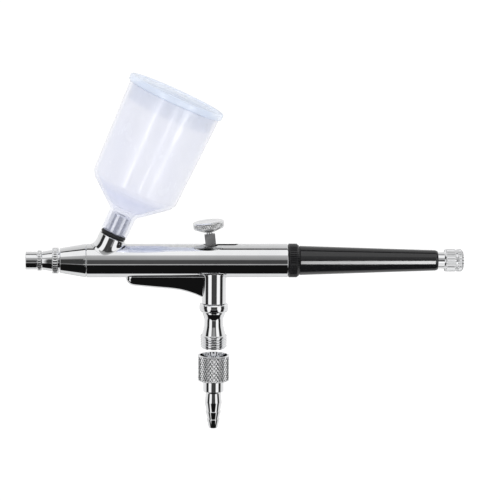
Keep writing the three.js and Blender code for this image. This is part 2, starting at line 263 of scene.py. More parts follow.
def screw_thread(pitch, depth):
    """One helical groove with a rounded root and crest."""
    return lambda station, angle: depth * (0.5 - 0.5 * np.cos(
        math.pi * wave(station / pitch + angle / TAU)))


def flutes(count, depth):
    """Rounded grooves along the axis."""
    return lambda _, angle: depth * (0.5 + 0.5 * np.cos(count * angle)) ** 1.6


def block(x0, x1, half_width, z0, z1):
    """A block, symmetric about the mirror plane."""
    mesh = bpy.data.meshes.new("block")
    shape = bmesh.new()
    bmesh.ops.create_cube(shape, size=1)
    size = Matrix.Diagonal(((x1 - x0) * MM, 2 * half_width * MM, (z1 - z0) * MM, 1))
    centre = Matrix.Translation(Vector(((x0 + x1) / 2, 0, (z0 + z1) / 2)) * MM)
    shape.transform(centre @ size)
    shape.to_mesh(mesh)
    shape.free()
    return mesh


def evaluated(mesh, modifiers):
    """The mesh after modifiers, each given as (kind, settings)."""
    target = bpy.data.objects.new("target", mesh)
    bpy.context.scene.collection.objects.link(target)
    for kind, settings in modifiers:
        modifier = target.modifiers.new(kind, kind)
        for key, value in settings.items():
            setattr(modifier, key, value)
    depsgraph = bpy.context.evaluated_depsgraph_get()
    result = bpy.data.meshes.new_from_object(target.evaluated_get(depsgraph))
    bpy.data.objects.remove(target)
    return result


def machined(blanks, cutters, bevel=0.0):
    """Joins the blanks, cuts the cutters away and eases the edges by bevel millimetres."""
    steps = [(mesh, "UNION") for mesh in blanks[1:]] + [(mesh, "DIFFERENCE") for mesh in cutters]
    tools = []
    modifiers = []
    for mesh, operation in steps:
        tool = bpy.data.objects.new("tool", mesh)
        bpy.context.scene.collection.objects.link(tool)
        tools.append(tool)
        modifiers.append(("BOOLEAN", {"object": tool, "operation": operation, "solver": "EXACT"}))
    if bevel:
        easing = {"width": bevel * MM, "segments": 3, "limit_method": "ANGLE",
                  "angle_limit": SHARP, "use_clamp_overlap": True}
        modifiers.append(("BEVEL", easing))
    result = evaluated(blanks[0], modifiers)
    for tool in tools:
        bpy.data.objects.remove(tool)
    cleaned(result)
    return result


def saddle(axis, outer, top, inner, chamfer, rise, spread, below=False):
    """A sleeve that stands on the round body, with a fillet that runs out over the body.

    rise is the fillet's height up the sleeve and spread its reach over the body.
    """
    sign = -1 if below else 1
    angle = np.arange(FINE) * TAU / FINE
    away = sign * 0.02  # clear of the body's skin

    def foot(radius):
        """Station at which a line on the sleeve at this radius meets the body."""
        height = sign * np.sqrt(BODY_R ** 2 - (radius * np.sin(angle)) ** 2) + away
        return (height - radius * np.cos(angle) * axis.out.z) / axis.along.z

    reach = outer + spread * (1 - 0.55 * np.sin(angle) ** 2)
    room = (top - sign * chamfer - foot(outer)) * sign
    climb = np.minimum(rise, 0.7 * room) * sign
    rows = []
    for t in np.linspace(0, 1, 9):
        low = axis.place(foot(reach), reach, angle)
        corner = axis.place(foot(outer), outer, angle)
        high = axis.place(foot(outer) + climb, outer, angle)
        rows.append((1 - t) ** 2 * low + 2 * t * (1 - t) * corner + t ** 2 * high)
    for k in range(5):
        turn = k / 4 * math.pi / 2
        station = top - sign * chamfer * (1 - math.sin(turn))
        radius = outer - chamfer * (1 - math.cos(turn))
        rows.append(axis.place(station, radius, angle))
    rows.append(axis.place(top, inner, angle))
    rows.append(axis.place(foot(inner), inner, angle))
    return grid_mesh("saddle", np.array(rows), ring=True)


def spring(axis, start, end, radius, turns, wire):
    """A round wire wound into a compression spring with closed ends."""
    steps, sides = int(turns * 28), 12
    t = np.linspace(0, 1, steps + 1)
    closed_pitch = 2.05 * wire
    pitch = np.interp(t * turns, [0, 0.9, 1.3, turns - 1.3, turns - 0.9, turns],
                      [0, 0, 1, 1, 0, 0])
    climb = np.concatenate([[0], np.cumsum((pitch[1:] + pitch[:-1]) / 2)])
    dead = closed_pitch * t * turns
    free = abs(end - start) - 2 * wire - dead[-1]
    station = wire + dead + free * climb / climb[-1]
    station = start + math.copysign(1, end - start) * station
    angle = TAU * turns * t
    centre = axis.place(station, radius, angle)
    outward = axis.place(0.0, 1.0, angle) - axis.place(0.0, 0.0, angle)
    along = np.array(axis.along) * MM
    around = np.arange(sides) * TAU / sides
    rows = []
    for i in range(steps + 1):
        ring = np.cos(around)[:, None] * outward[i] + np.sin(around)[:, None] * along
        rows.append(centre[i] + ring * wire)
    first, last = np.repeat(centre[:1], sides, 0), np.repeat(centre[-1:], sides, 0)
    return grid_mesh("spring", np.array([first, *rows, last]), ring=False)


def moved(mesh, origin, lean):
    """The mesh leaned back about the mirror plane's normal and set on an origin."""
    mesh.transform(Matrix.Translation(origin * MM) @ Matrix.Rotation(-lean, 4, "Y"))
    return mesh


# ---------------------------------------------------------------- materials

def add_node(tree, kind, inputs=(), **settings):
    """A node with its settings, and its inputs set or linked."""
    made = tree.nodes.new(kind)
    for key, value in settings.items():
        setattr(made, key, value)
    for key, value in dict(inputs).items():
        if isinstance(value, bpy.types.NodeSocket):
            tree.links.new(value, made.inputs[key])
        else:
            made.inputs[key].default_value = value
    return made


def math_node(tree, operation, *values):
    """A Math node's result."""
    made = add_node(tree, "ShaderNodeMath", dict(enumerate(values)), operation=operation)
    return made.outputs[0]


class Finish:
    """A procedural material: a Principled shader with helpers for its texture nodes."""

    def __init__(self, name, base, roughness, **fixed):
        self.material = bpy.data.materials.new(name)
        self.material.use_nodes = True
        self.tree = self.material.node_tree
        self.shader = self.tree.nodes["Principled BSDF"]
        self.shader.inputs["Base Color"].default_value = (*base, 1)
        self.shader.inputs["Roughness"].default_value = roughness
        for socket, value in fixed.items():
            self.shader.inputs[socket.replace("_", " ")].default_value = value
        self.place = self.node("ShaderNodeTexCoord").outputs["Object"]

    def node(self, kind, inputs=(), **settings):
        """A node of this material."""
        return add_node(self.tree, kind, inputs, **settings)

    def noise(self, scale, detail=3.0, stretch=(1, 1, 1)):
        """Cloudy noise with a scale in cycles per metre, stretched along the axes."""
        mapping = self.node("ShaderNodeMapping", {"Vector": self.place, "Scale": stretch})
        inputs = {"Vector": mapping.outputs[0], "Scale": scale, "Detail": detail}
        return self.node("ShaderNodeTexNoise", inputs).outputs["Fac"]

    def scaled(self, value, low, high, to_low, to_high):
        """The value's range mapped to another range, and clamped."""
        inputs = {"Value": value, "From Min": low, "From Max": high,
                  "To Min": to_low, "To Max": to_high}
        return self.node("ShaderNodeMapRange", inputs).outputs[0]

    def mixed(self, share, one, other):
        """One colour turning into the other as share goes from 0 to 1."""
        made = self.node("ShaderNodeMix", {"Factor": share}, data_type="RGBA")
        for socket, colour in ((made.inputs[6], one), (made.inputs[7], other)):
            if isinstance(colour, bpy.types.NodeSocket):
                self.tree.links.new(colour, socket)
            else:
                socket.default_value = (*colour, 1)
        return made.outputs[2]

    def sum(self, one, other, operation="ADD"):
        """Two values put together by a Math node."""
        return math_node(self.tree, operation, one, other)

    def worn_edges(self, low=0.53, high=0.6):
        """1 on the convex edges that rub, 0 elsewhere."""
        pointed = self.node("ShaderNodeNewGeometry").outputs["Pointiness"]
        patchy = self.scaled(self.noise(900), 0.35, 0.6, 0, 1)
        return self.sum(self.scaled(pointed, low, high, 0, 1), patchy, "MULTIPLY")

    def bump(self, height, distance, strength):
        """Roughens the surface by a texture whose full range is distance, in metres."""
        inputs = {"Height": height, "Distance": distance, "Strength": strength}
        made = self.node("ShaderNodeBump", inputs)
        self.tree.links.new(made.outputs[0], self.shader.inputs["Normal"])

    def drive(self, socket, value):
        """Links a texture to one of the shader's inputs."""
        self.tree.links.new(value, self.shader.inputs[socket])


def plated(name, base, low_rough, high_rough, grain=(0.3, 1, 1), bump=0.000004, bore=None):
    """Bright metal: faint polishing lines, smears of handling and duller worn edges.

    Closer to the needle's line than bore, in metres, it is rougher and painted near black: painted
    shade inside the bore, slot and ports.
    """
    finish = Finish(name, base, low_rough, Metallic=1.0)
    smears = finish.noise(70, 4)
    lines = finish.noise(2600, 2, grain)
    duller = tuple(0.86 * share for share in base)
    cloud = finish.mixed(finish.scaled(smears, 0.42, 0.7, 0, 0.5), base, duller)
    worn = tuple(0.7 * share for share in base)
    edges = finish.worn_edges()
    toned = finish.mixed(edges, cloud, worn)
    rough = finish.scaled(smears, 0.4, 0.72, low_rough, high_rough)
    rough = finish.sum(rough, finish.sum(edges, 0.12, "MULTIPLY"))
    # Painted shade: inside the bore radius the colour turns near black, and the surface is also
    # rougher.
    if bore:
        across = finish.node("ShaderNodeVectorMath", {0: finish.place, 1: (0, 1, 1)},
                             operation="MULTIPLY").outputs[0]
        away = finish.node("ShaderNodeVectorMath", {0: across}, operation="LENGTH")
        inside = finish.scaled(away.outputs["Value"], bore - 0.1 * MM, bore, 1, 0)
        toned = finish.mixed(inside, toned, (0.07, 0.07, 0.072))
        rough = finish.sum(rough, finish.sum(inside, 0.4, "MULTIPLY"))
    finish.drive("Base Color", toned)
    finish.drive("Roughness", rough)
    finish.bump(lines, bump, 0.35)
    return finish.material


def ground(name, base, low_rough, high_rough, grain, bump):
    """Satin metal with the grain of grinding or drawing along one direction."""
    finish = Finish(name, base, low_rough, Metallic=1.0)
    lines = finish.noise(5200, 3, grain)
    clouds = finish.noise(240, 3)
    darker = tuple(0.72 * share for share in base)
    toned = finish.mixed(finish.scaled(lines, 0.35, 0.7, 0, 0.8), base, darker)
    finish.drive("Base Color", toned)
    rough = finish.scaled(clouds, 0.35, 0.7, low_rough, high_rough)
    finish.drive("Roughness", rough)
    finish.bump(lines, bump, 0.6)
    return finish.material


def enamel():
    """Gloss black enamel with slight orange peel, fine scuffs and a few specks of dust."""
    finish = Finish("black_enamel", (0.008, 0.008, 0.009), 0.1, IOR=1.58)
    scuffs = finish.noise(3000, 2, (0.06, 1, 1))
    smears = finish.noise(60, 4)
    specks = finish.scaled(finish.noise(5200, 0), 0.76, 0.8, 0, 0.25)
    edges = finish.worn_edges(0.56, 0.66)
    base = finish.mixed(specks, (0.008, 0.008, 0.009), (0.2, 0.2, 0.2))
    finish.drive("Base Color", finish.mixed(edges, base, (0.05, 0.05, 0.052)))
    rough = finish.scaled(smears, 0.4, 0.7, 0.07, 0.17)
    finish.drive("Roughness", finish.sum(rough, finish.scaled(scuffs, 0.62, 0.75, 0, 0.1)))
    finish.bump(finish.noise(420, 2), 0.000012, 0.5)
    return finish.material


def rubber():
    """Matt black rubber with a fine pebbled skin."""
    finish = Finish("rubber", (0.02, 0.02, 0.021), 0.5, Specular_IOR_Level=0.2)
    pebbles = finish.noise(7000, 3)
    finish.drive("Roughness", finish.scaled(finish.noise(500), 0.3, 0.7, 0.38, 0.62))
    dusty = finish.scaled(finish.noise(300, 5), 0.5, 0.75, 0, 0.5)
    finish.drive("Base Color", finish.mixed(dusty, (0.02, 0.02, 0.021), (0.045, 0.045, 0.045)))
    finish.bump(pebbles, 0.00002, 0.5)
    return finish.material


def waxy():
    """White PTFE: soft, slightly translucent, with tool marks."""
    finish = Finish("ptfe", (0.84, 0.84, 0.81), 0.4, Subsurface_Weight=0.25,
                    Subsurface_Scale=0.001)
    stains = finish.scaled(finish.noise(400, 4), 0.5, 0.75, 0, 0.6)
    finish.drive("Base Color", finish.mixed(stains, (0.86, 0.86, 0.83), (0.7, 0.7, 0.64)))
    finish.drive("Roughness", finish.scaled(finish.noise(900), 0.3, 0.7, 0.32, 0.5))
    finish.bump(finish.noise(4200, 1, (1, 0.15, 0.15)), 0.00001, 0.5)
    return finish.material


def milky(name, tint, deep, clear, neck_clear=None):
    """Milky translucent plastic.

    clear is how much of the surface lets light straight through. Where neck_clear is given, the
    tint is painted darker and bluer over the cup's down-facing cone, as painted shade, and the
    plastic clears to that share at its neck.
    """
    finish = Finish(name, tint, 0.22, IOR=1.49)
    flow = finish.noise(45, 4, (1, 1, 0.4))
    cloud = finish.scaled(flow, 0.35, 0.68, 0, 1)
    toned = finish.mixed(cloud, tint, deep)
    solid = finish.scaled(flow, 0.3, 0.7, 1 - clear - 0.04, 1 - clear + 0.04)
    if neck_clear is not None:
        along = finish.node("ShaderNodeVectorMath", {0: finish.place, 1: CUP.along},
                            operation="DOT_PRODUCT").outputs["Value"]
        base = CUP.origin.dot(CUP.along) * MM
        # Painted shade: the down-facing cone gets a darker, bluer tint.
        cone = finish.scaled(along, base + 26 * MM, base + 29.5 * MM, 0.8, 0)
        toned = finish.mixed(cone, toned, (0.7, 0.74, 0.93))
        neck = finish.scaled(along, base + 19.5 * MM, base + 22.5 * MM, 1, 0)
        gap = finish.sum(neck, neck_clear - clear, "MULTIPLY")
        solid = finish.sum(solid, gap, "SUBTRACT")
    finish.drive("Base Color", toned)
    finish.drive("Alpha", solid)
    scuffs = finish.scaled(finish.noise(1500, 3, (1, 1, 0.1)), 0.6, 0.75, 0, 0.12)
    rough = finish.scaled(finish.noise(90, 3), 0.35, 0.7, 0.16, 0.3)
    finish.drive("Roughness", finish.sum(rough, scuffs))
    finish.bump(finish.noise(300, 2), 0.00002, 0.35)
    return finish.material


CHROME = (0.87, 0.875, 0.885)
MATERIALS = {
    "chrome": plated("chrome", CHROME, 0.03, 0.075),
    "button_chrome": plated("button_chrome", (0.88, 0.885, 0.89), 0.24, 0.34),
    "satin_steel": ground("satin_steel", (0.88, 0.88, 0.89), 0.26, 0.4, (1, 1, 0.05), 0.000012),
    "needle_steel": ground("needle_steel", (0.7, 0.7, 0.72), 0.1, 0.2, (0.02, 1, 1), 0.000004),
    "spring_steel": ground("spring_steel", (0.42, 0.43, 0.45), 0.24, 0.38, (1, 1, 1), 0.000008),
    "brass": plated("brass", (0.72, 0.54, 0.25), 0.16, 0.32, (1, 0.1, 0.1), 0.000012),
    "black_enamel": enamel(),
    "rubber": rubber(),
    "ptfe": waxy(),
    "cup_plastic": milky("cup_plastic", (0.9, 0.91, 0.98), (0.85, 0.865, 0.965), 0.62, 0.78),
    "lid_plastic": milky("lid_plastic", (0.82, 0.885, 1.0), (0.78, 0.86, 1.0), 0.45),
}


def fit(node, mesh, facets=False, finish=None):
    """Puts a fine mesh in place of its CAD node, on the node's body and in its finish.

    facets keeps each face's own shading, as small knurls need.
    """
    mesh.name = f"{node}_fine"
    mesh.shade_smooth()
    mesh.set_sharp_from_angle(angle=SHARP)
    mesh.materials.clear()
    mesh.materials.append(finish or MATERIALS[SLOT_OF[node]])
    piece = bpy.data.objects.new(f"{node}_fine", mesh)
    bpy.context.scene.collection.objects.link(piece)
    if not facets:
        shading = piece.modifiers.new("even_shading", "WEIGHTED_NORMAL")
        shading.keep_sharp = True
    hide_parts(node)
    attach(piece, BODY_OF[node])


# ---------------------------------------------------------------- nose

def needle_cap():
    """Open-fronted cap that guards the needle's tip, with a small knurled ring."""
    front, rear = span_x("needle_cap")
    ring = rear - 1.5
    outline = [
        (front, 2.0, 0.1), (front, 3.25, 0.3), (ring - 0.3, 3.25, 0.06), (ring - 0.3, 3.0),
        (ring, 3.0), (ring, 3.7, 0.16), (rear, 3.7, 0.16), (rear, 2.5, 0.06),
        (front + 3.2, 2.5), (front + 3.2, 2.0),
    ]
    knurl = Band(ring + 0.16, rear - 0.16, 3.6, 0.2, straight_knurl(24, 0.16), 0.2)
    fit("needle_cap", turned(NEEDLE, outline, 24 * 8, [knurl]))


def nozzle_cap():
    """Cone that screws into the spray head, with the larger knurled ring."""
    front, rear = span_x("nozzle_cap")
    shoulder = front + 2.6
    ring = front + 6.3
    ring_rear = ring + 2.25
    outline = [
        (front, 1.15), (front, 1.95, 0.12), (front + 0.25, 2.2, 0.12), (shoulder, 2.2),
        (shoulder, 3.3, 0.12), (ring, 3.9), (ring, 4.75, 0.28), (ring_rear, 4.75, 0.28),
        (ring_rear, 3.3), (rear, 3.3, 0.12), (rear, 2.6), (front + 4.8, 2.6), (front + 1.4, 1.15),
    ]
    knurl = Band(ring + 0.28, ring_rear - 0.28, 4.6, 0.2, straight_knurl(28, 0.24), 0.25)
    fit("nozzle_cap", turned(NEEDLE, outline, 28 * 8, [knurl]))


def spray_head():
    """Tapered head between the nozzle cap and the body, with a thin seam at its back."""
    front, rear = span_x("spray_head")
    seam = span_x("main_body")[0] - 0.25
    outline = [
        (front, 3.6), (front, 4.2, 0.1), (front + 0.35, 4.53, 0.2), (seam - 0.75, 6.02, 1.5),
        (seam, 6.05, 0.24), (seam, 5.75, 0.05), (seam + 0.2, 5.75), (seam + 0.2, 4.0),
        (rear, 4.0), (rear, 1.3), (front + 6.1, 1.3), (front + 6.1, 1.8), (front + 2.8, 1.8),
        (front + 2.8, 3.6),
    ]
    fit("spray_head", turned(NEEDLE, outline))


def nozzle():
    """Brass fluid nozzle with its seal."""
    front, rear = span_x("nozzle")
    outline = [
        (front, 0.3), (front, 0.52, 0.08), (front + 6.1, 1.45, 0.3), (front + 10.3, 1.45, 0.1),
        (front + 10.3, 2.2, 0.12), (front + 11.4, 2.2, 0.12), (front + 11.4, 1.5),
        (rear, 1.5, 0.1), (rear, 1.0), (front + 6.4, 1.0),
    ]
    fit("nozzle", turned(NEEDLE, outline, COARSE))
    sleeve("nozzle_seal", 1.8, 2.25, 0.15)


def sleeve(node, inner, outer, ease):
    """A plain ring or tube along the needle."""
    front, rear = span_x(node)
    outline = [
        (front, inner, ease / 2), (front, outer, ease), (rear, outer, ease),
        (rear, inner, ease / 2),
    ]
    fit(node, turned(NEEDLE, outline, COARSE))


# ---------------------------------------------------------------- body

SEAT_BORE = 3.35


def body_blank():
    """The body as turned, with its stepped bore."""
    front, rear = span_x("main_body")
    return turned(NEEDLE, [
        (front, 4.3), (front, BODY_R, 0.22), (rear, BODY_R, 0.45), (rear, 4.3, 0.2),
        (-3.6, 4.3), (-3.6, 2.2), (-12.3, 2.2), (-12.3, 0.95), (-33, 0.95), (-33, 1.6),
        (front + 3.6, 1.6), (front + 3.6, 4.3),
    ], 192)


def main_body():
    """Body shell with the trigger's slot, the hole under it and the cup's port."""
    slot_front, slot_rear, slot_half, floor = -4.2, 8.8, 1.65, 2.6
    hole_r, port_step = 2.9, 6.7
    above = BODY_R + 1
    ends = [Axis((x, 0, 0), (0, 0, 1)) for x in (slot_front + slot_half, slot_rear - slot_half)]
    rod = [(floor, 0), (floor, slot_half), (above, slot_half), (above, 0)]
    stem_hole = [(3.0, 0), (3.0, hole_r), (above, hole_r), (above, 0)]
    foot_hole = [(-above, 0), (-above, hole_r), (-3.4, hole_r), (-3.4, 0)]
    port = [(0, 0), (0, 2.2), (port_step, 2.2), (port_step, SEAT_BORE), (12, SEAT_BORE), (12, 0)]
    cutters = [
        block(slot_front + slot_half, slot_rear - slot_half, slot_half, floor, above),
        *[turned(end, rod, 48) for end in ends],
        turned(Axis((-1.0, 0, 0), (0, 0, 1)), stem_hole, 72),
        turned(VALVE, foot_hole, 72),
        block(-hole_r, 3.3, 2.1, -above, -3.4),
        turned(CUP, port, 72),
    ]
    # This chrome is painted near black inside the bore, slot and ports, as painted shade.
    chrome_with_bore_shade = plated("chrome_painted_bore_shade", CHROME, 0.03, 0.075, bore=(BODY_R - 0.3) * MM)
    fit("main_body", machined([body_blank()], cutters), finish=chrome_with_bore_shade)


def brazed_pieces():
    """Cup seat, air valve boss and finger rest, which stand on the body."""
    fit("cup_seat", saddle(CUP, 4.95, 9.9, SEAT_BORE, 0.28, rise=2.6, spread=1.1))
    boss_bottom = span_z("valve_boss")[1]
    boss_r = corners("valve_boss")[1].y
    boss = saddle(VALVE, boss_r, boss_bottom, 3.2, 0.22, rise=0.5, spread=0.3, below=True)
    web = turned(VALVE, [(-10.6, 1.25), (-10.6, 3.25), (-13.0, 3.25), (-13.0, 1.25)], COARSE)
    fit("valve_boss", machined([boss, web], []))
    fit("finger_rest", finger_rest(boss_r))


def finger_rest(boss_r):
    """Curved rest under the body, running from a rounded front to the valve boss."""
    tip = span_x("finger_rest")[0]
    lowest = span_z("finger_rest")[1]
    top, tip_height = -4.2, -6.6
    half_width, nose, rounding = 2.5, 3.0, 1.9
    draft = 0.15  # each side leans in by this much for every millimetre down
    spine = [
        (tip, -6.2), (tip + 0.5, -7.75), (tip + 1.5, -8.75), (tip + 3.1, -9.3), (tip + 9.8, -10.0),
        (tip + 17.6, -10.7), (tip + 21.5, -11.4), (tip + 25.4, -12.6), (tip + 28.1, -13.7),
        (tip + 29.9, lowest),
    ]
    turn = np.linspace(0, math.pi, 17)
    flank = np.sign(np.cos(turn).round(6))
    sections = []
    for x, z in curve_through(spine, 5)[1:]:
        plan = half_width * math.sqrt(1 - max(1 - (x - tip) / nose, 0) ** 2)
        depth = -BODY_R - z
        low = plan - draft * depth
        ease = min(rounding, low, 0.8 * depth)
        y = np.array([plan, plan, *((low - ease) * flank + ease * np.cos(turn)), -plan, -plan])
        height = np.array([top, -BODY_R, *(z + ease * (1 - np.sin(turn))), -BODY_R, top])
        sections.append(np.stack([np.full_like(y, x), y, height], axis=1))
    poles = [np.array((tip, 0, tip_height)), sections[-1].mean(axis=0)]
    front_pole, rear_pole = (np.tile(pole, (len(sections[0]), 1)) for pole in poles)
    points = np.array([front_pole, *sections, rear_pole]) * MM
    blank = grid_mesh("rest", points, ring=False)
    front, rear = span_x("main_body")
    skin = BODY_R + 0.02
    envelope = turned(NEEDLE, [(front - 5, 0), (front - 5, skin), (rear, skin), (rear, 0)], 192)
    boss_skin = boss_r + 0.02
    boss = turned(VALVE, [(-20, 0), (-20, boss_skin), (0, boss_skin), (0, 0)], 96)
    return machined([blank], [envelope, boss])


def curve_through(points, steps):
    """A smooth curve through points, as a Catmull-Rom spline."""
    spots = [Vector(point) for point in points]
    spots = [spots[0] * 2 - spots[1], *spots, spots[-1] * 2 - spots[-2]]
    found = []
    for a, b, c, d in zip(spots, spots[1:], spots[2:], spots[3:]):
        for k in range(steps):
            t = k / steps
            bend = (2 * a - 5 * b + 4 * c - d) * t * t + (3 * b - a - 3 * c + d) * t ** 3
            found.append(tuple(b + ((c - a) * t + bend) / 2))
    return [*found, tuple(spots[-2])]


# ---------------------------------------------------------------- needle and trigger

def needle_group():
    """Needle, its packing, and the parts that clamp and return it."""
    front, rear = span_x("needle")
    needle = [
        (front, 0), (front, 0.07), (front + 2.4, 0.32), (front + 6.4, 0.65, 8.0),
        (rear - 0.5, 0.65, 0.2), (rear, 0.4, 0.1), (rear, 0),
    ]
    fit("needle", turned(NEEDLE, needle, COARSE))
    sleeve("needle_packing", 0.95, 1.9, 0.25)
    start, end = span_x("packing_screw")
    screw = [(start, 0.95), (start, 1.9, 0.2), (end, 1.9, 0.2), (end, 0.95)]
    driver_slot = block(end - 0.8, end + 0.4, 0.35, -3, 3)
    fit("packing_screw", machined([turned(NEEDLE, screw, COARSE)], [driver_slot], 0.05))

    start, end = span_x("chuck_guide")
    guide = [
        (start, 0.95), (start, 1.5, 0.15), (start + 1.7, 1.5), (start + 1.7, 3.2, 0.2),
        (start + 3.3, 3.2, 0.2), (start + 3.3, 1.75), (end, 1.75, 0.15), (end, 0.95),
    ]
    guide_thread = Band(end - 7.5, end - 0.3, 1.6, 0.06, screw_thread(0.5, 0.14), 0.3)
    fit("chuck_guide", turned(NEEDLE, guide, 72, [guide_thread]))
    start, end = span_x("needle_spring")
    fit("needle_spring", spring(NEEDLE, start, end, 2.5, 9, 0.3))

    start, end = span_x("spring_case")
    case = [
        (start, 3.3), (start, 3.95, 0.15), (end, 3.95, 0.25), (end, 2.05, 0.1),
        (end - 2.2, 2.05), (end - 2.2, 3.3),
    ]
    case_thread = Band(start + 0.3, start + 6.5, 3.8, 0.06, screw_thread(0.6, 0.18), 0.3)
    fit("spring_case", turned(NEEDLE, case, 96, [case_thread]))

    start, end = span_x("chuck_nut")
    nut = [
        (start, 2.05), (start, 2.9, 0.25), (end - 1.1, 2.9, 0.2), (end - 0.4, 2.4, 0.2),
        (end, 2.3, 0.15), (end, 0.95), (end - 3, 0.95), (end - 3, 2.05),
    ]
    nut_knurl = Band(start + 0.3, end - 1.3, 2.8, 0.12, diamond_knurl(26, 1.4, 0.16), 0.25)
    fit("chuck_nut", turned(NEEDLE, nut, 26 * 6, [nut_knurl]))


def trigger():
    """Knurled button on its stem, and the lever behind it."""
    button = [
        (14.2, 0), (14.2, 1.1, 0.1), (16.4, 1.1, 0.2), (16.4, 2.2, 0.15), (17.7, 5.4, 0.2),
        (18.0, 5.75, 0.2), (19.9, 5.75, 0.3), (20.3, 5.3, 0.3), (20.3, 4.6, 0.8),
        (20.0, 2.6, 2.0), (19.95, 0),
    ]
    fine_knurl = Band(18.1, 19.8, 5.6, 0.09, diamond_knurl(48, 1.2, 0.12), 0.2)
    fit("trigger_button", turned(TRIGGER, button, 48 * 8, [fine_knurl]), facets=True)

    foot_r, paddle_half, stem_half, stem_top = 1.45, 1.8, 1.4, 15.6
    foot = turned(VALVE, [
        (-paddle_half, 0), (-paddle_half, foot_r), (paddle_half, foot_r), (paddle_half, 0),
    ], COARSE)
    foot.transform(Matrix.Rotation(math.pi / 2, 4, "X"))
    blanks = [
        block(-foot_r, foot_r, paddle_half, 0, 8.7),
        foot,
        block(-foot_r, foot_r, stem_half, 8.5, 11.5),
        block(-1.95, 1.95, stem_half, 11.3, stem_top),
    ]
    socket = turned(VALVE, [(13.9, 0), (13.9, 1.3), (stem_top + 1, 1.3), (stem_top + 1, 0)], 48)
    stem = machined(blanks, [block(-3, 3, 0.85, 4.4, 9.1), socket], 0.22)
    fit("trigger_stem", moved(stem, PIVOT, LEAN))

    plate = machined([block(-0.8, 0.8, 2.2, 2.4, 8.4)], [block(-2, 2, 0.95, 4.4, 7.1)], 0.2)
    fit("back_lever", moved(plate, LEVER_PIVOT, LEAN))


# ---------------------------------------------------------------- air valve and hose tail

def air_valve():
    """Valve body with its threaded inlet, and the plunger, O-ring, spring and screw in it."""
    top, bottom = span_z("valve_plunger")
    plunger = [
        (top, 0), (top, 2.2, 0.2), (top - 0.25, 2.5, 0.2), (top - 1.15, 2.5, 0.2),
        (top - 1.45, 2.2, 0.1), (top - 1.45, 0.95, 0.2), (top - 8.4, 0.95), (top - 8.4, 1.7, 0.1),
        (top - 8.6, 1.9, 0.1), (top - 9.85, 1.9, 0.15), (top - 9.95, 1.2), (bottom, 1.2, 0.15),
        (bottom, 0),
    ]
    fit("valve_plunger", turned(VALVE, plunger, COARSE))
    o_ring(VALVE, "valve_o_ring", 1.5, 0.3)

    top, bottom = span_z("valve_body")
    crest_r, pitch = 4.86, 0.907
    shoulder = top - 2.75
    thread_top = top - 14.6
    outline = [
        (top, 1.4), (top, 2.9, 0.1), (shoulder, 2.9), (shoulder, 4.75, 0.2),
        (shoulder - 0.45, 5.2, 0.5), (shoulder - 1.45, 5.3, 1.5), (shoulder - 2.5, 5.15, 0.5),
        (shoulder - 2.95, 4.7, 0.2), (shoulder - 2.95, 4.2, 0.15), (shoulder - 3.6, 4.15, 0.4),
        (shoulder - 5.6, 3.4, 3.0), (shoulder - 8.2, 3.45, 4.0), (thread_top, 4.3, 0.2),
        (thread_top - 0.3, crest_r, 0.1), (bottom + 0.6, crest_r, 0.1), (bottom, 4.25, 0.15),
        (bottom, 2.5, 0.1), (top - 1.2, 2.5), (top - 1.2, 1.4),
    ]
    thread = Band(thread_top - 0.5, bottom, 4.2, 0.07, screw_thread(pitch, 0.58), 0.3)
    fit("valve_body", turned(VALVE, outline, FINE, [thread]))

    start, end = span_z("valve_spring")
    fit("valve_spring", spring(VALVE, start, end, 1.75, 7.5, 0.26))
    top, bottom = span_z("valve_screw")
    screw = turned(VALVE, [(top, 0.8), (top, 2.2, 0.15), (bottom, 2.2, 0.2), (bottom, 0.8)], 48)
    fit("valve_screw", machined([screw], [block(-3, 3, 0.4, bottom - 1, bottom + 0.8)], 0.05))


def o_ring(axis, node, ring_r, section_r):
    """A ring of round section, at the middle of its CAD node."""
    low, high = corners(node)
    middle = ((low + high) / 2 - axis.origin).dot(axis.along)
    turns = [k * TAU / 20 for k in range(20)]
    outline = [
        (middle + section_r * math.cos(turn), ring_r + section_r * math.sin(turn))
        for turn in turns
    ]
    fit(node, turned(axis, outline, 96))


def hose_tail():
    """Barbed tail, its knurled coupling nut and the seal between them."""
    top, bottom = span_z("hose_tail")
    shelf = top - 1.4
    neck_end = top - 6.75
    outline = [
        (top, 1.0), (top, 4.75, 0.15), (shelf, 4.75, 0.1), (shelf, 3.75), (neck_end, 3.75, 0.3),
        (neck_end - 0.35, 3.1, 0.2), (neck_end - 0.6, 2.75, 0.3),
    ]
    barbs = [
        (top - 11.0, 3.12, top - 14.4, 2.5), (top - 14.5, 2.82, top - 17.4, 2.05),
        (top - 17.5, 2.38, bottom, 1.55),
    ]
    for lip, wide, end, narrow in barbs:
        outline += [(lip, wide, 0.14), (end, narrow, 0.06)]
    fit("hose_tail", turned(VALVE, [*outline, (bottom, 1.0, 0.1)]))

    top, bottom = span_z("coupling_nut")
    outer = corners("coupling_nut")[1].y
    nut = [
        (top, 5.15, 0.1), (top, outer, 0.35), (bottom, outer, 0.35), (bottom, 4.05, 0.1),
        (bottom + 0.9, 4.05), (bottom + 0.9, 5.15),
    ]
    knurl = Band(top - 0.25, bottom + 0.25, 5.5, 0.13, diamond_knurl(36, 1.7, 0.26), 0.3)
    fit("coupling_nut", turned(VALVE, nut, 36 * 8, [knurl]), facets=True)
    top, bottom = span_z("nut_seal")
    seal = [(top, 1.6, 0.1), (top, 4.7, 0.15), (bottom, 4.7, 0.15), (bottom, 1.6, 0.1)]
    fit("nut_seal", turned(VALVE, seal, COARSE))


# ---------------------------------------------------------------- handle

